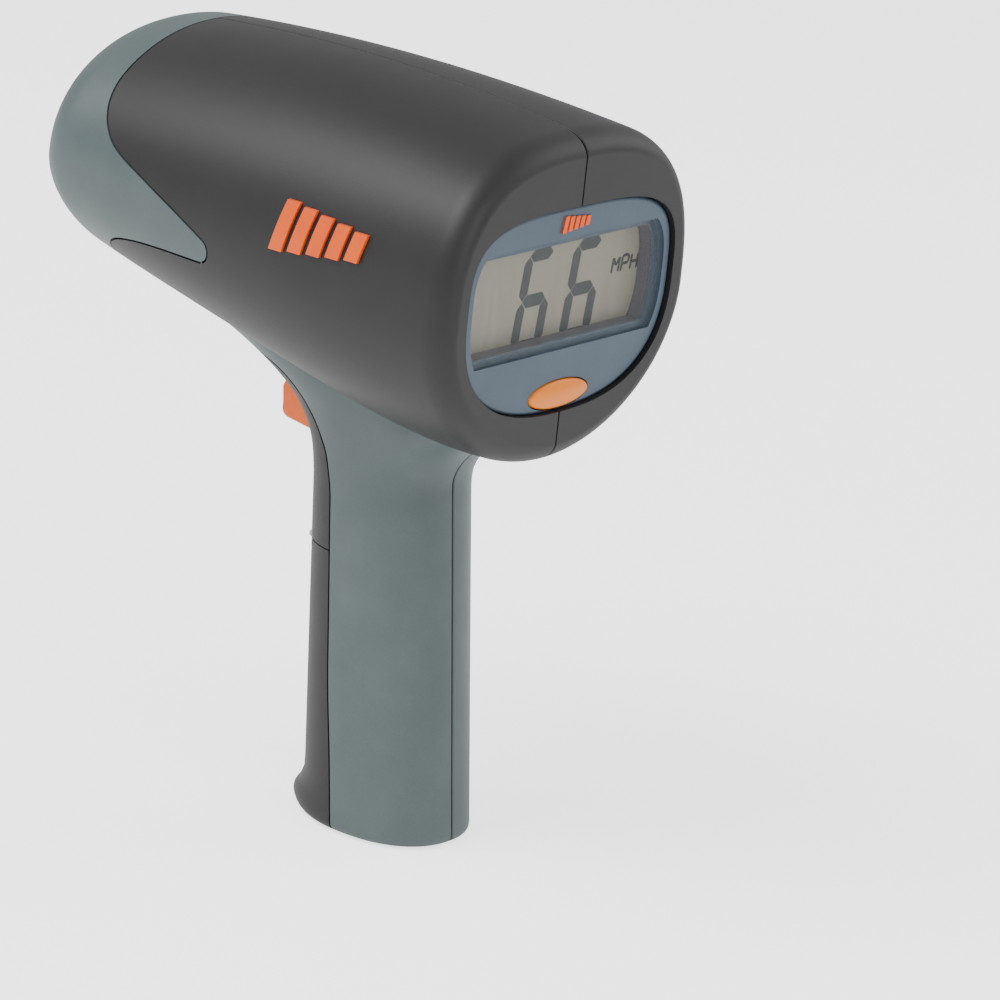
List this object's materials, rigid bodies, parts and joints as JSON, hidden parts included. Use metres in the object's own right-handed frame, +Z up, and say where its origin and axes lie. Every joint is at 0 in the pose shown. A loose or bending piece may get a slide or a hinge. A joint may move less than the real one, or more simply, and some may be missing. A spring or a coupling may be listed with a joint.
{
  "type": "handheld speed radar gun",
  "caption": "Hand-held speed radar gun: rounded barrel with a radome nose and rear display, on a raked pistol grip with trigger and battery door.",
  "frame": {"origin": "on the ground under the middle of the bounding box, with the gun standing on the foot of its grip", "axes": "+Z up from the foot to the barrel, +Y towards the display face, -Y towards the radome nose, +X to the user's left"},
  "size_m": [0.1098, 0.1519, 0.213],
  "materials": {
    "charcoal_soft_touch": "matte soft-touch paint on moulded plastic",
    "grip_green_grey": "fine matte moulded plastic",
    "seal_rubber": "matte",
    "badge_orange": "satin moulded plastic",
    "trigger_orange": "satin moulded plastic",
    "button_orange": "smooth moulded plastic",
    "bezel_slate": "satin moulded plastic",
    "window_clear": "polished clear sheet",
    "tray_grey": "matte",
    "lcd_glass": "reflective liquid crystal panel",
    "zebra_pink": "matte elastomer",
    "board_green": "solder-masked laminate",
    "inner_black_plastic": "moulded",
    "horn_metal": "nickel-plated casting",
    "module_metal": "machined",
    "screw_steel": "zinc-plated steel",
    "post_brass": "turned",
    "shield_tin": "tin-plated sheet",
    "connector_cream": "moulded nylon",
    "ribbon_film": "flexible film",
    "cell_jacket": "printed film on steel can",
    "wire_red": "insulated wire",
    "wire_black": "insulated wire",
    "wire_blue": "insulated wire"
  },
  "bodies": {
    "housing": {"barrel_left_shell": "charcoal_soft_touch", "barrel_right_shell": "charcoal_soft_touch", "nose_cap": "grip_green_grey", "nose_seal": "seal_rubber", "grip_left_shell": "grip_green_grey", "grip_right_shell": "grip_green_grey", "trigger_strap": "charcoal_soft_touch", "door_hinge_pin": "screw_steel", "case_screws": "screw_steel", "side_badge_left": "badge_orange", "side_badge_right": "badge_orange", "bezel_badge": "badge_orange", "display_bezel": "bezel_slate", "display_window": "window_clear", "lcd_tray": "tray_grey", "lcd_panel": "lcd_glass", "zebra_strips": "zebra_pink", "display_board": "board_green", "display_screws": "screw_steel", "power_switch": "inner_black_plastic", "horn_antenna": "horn_metal", "horn_frame": "inner_black_plastic", "transceiver_module": "module_metal", "transceiver_screws": "screw_steel", "board_bracket": "module_metal", "board_posts": "post_brass", "main_board": "board_green", "board_screws": "screw_steel", "shield_can": "shield_tin", "processor_chips": "inner_black_plastic", "board_connectors": "connector_cream", "ribbon_cable": "ribbon_film", "battery_cradle": "inner_black_plastic", "battery_cell_lower": "cell_jacket", "battery_cell_upper": "cell_jacket", "contact_spring": "screw_steel", "contact_plate": "screw_steel", "battery_lead_positive": "wire_red", "battery_lead_negative": "wire_black", "trigger_pin": "screw_steel", "trigger_switch": "inner_black_plastic", "trigger_leads": "wire_blue"},
    "battery_door": {"battery_door": "charcoal_soft_touch"},
    "trigger": {"trigger": "trigger_orange", "trigger_spring": "screw_steel"},
    "switch_plunger": {"trigger_switch_plunger": "connector_cream"},
    "power_button": {"power_button": "button_orange", "power_switch_plunger": "inner_black_plastic"}
  },
  "joints": [
    {"name": "trigger_pivot", "type": "hinge", "parent": "housing", "child": "trigger", "pos_m": [0, -0.0055, 0.122], "axis": [1, 0, 0], "range_deg": [0, 9], "stiffness_Nm_per_rad": 0.3, "springref_deg": -6.88},
    {"name": "switch_plunger_slide", "type": "slide", "parent": "housing", "child": "switch_plunger", "axis": [0, 1, 0], "range_m": [0, 0.0011]},
    {"name": "power_button_slide", "type": "slide", "parent": "housing", "child": "power_button", "axis": [0, -1, 0], "range_m": [0, 0.0008], "stiffness_N_per_m": 1500, "springref_m": -0.0004},
    {"name": "battery_door_hinge", "type": "hinge", "parent": "housing", "child": "battery_door", "pos_m": [0, 0.00518, 0.079], "axis": [-1, 0, 0], "range_deg": [0, 95]}
  ],
  "couplings": [
    {"joint": "switch_plunger_slide", "follows": "trigger_pivot", "m_per_rad": 0.007}
  ]
}
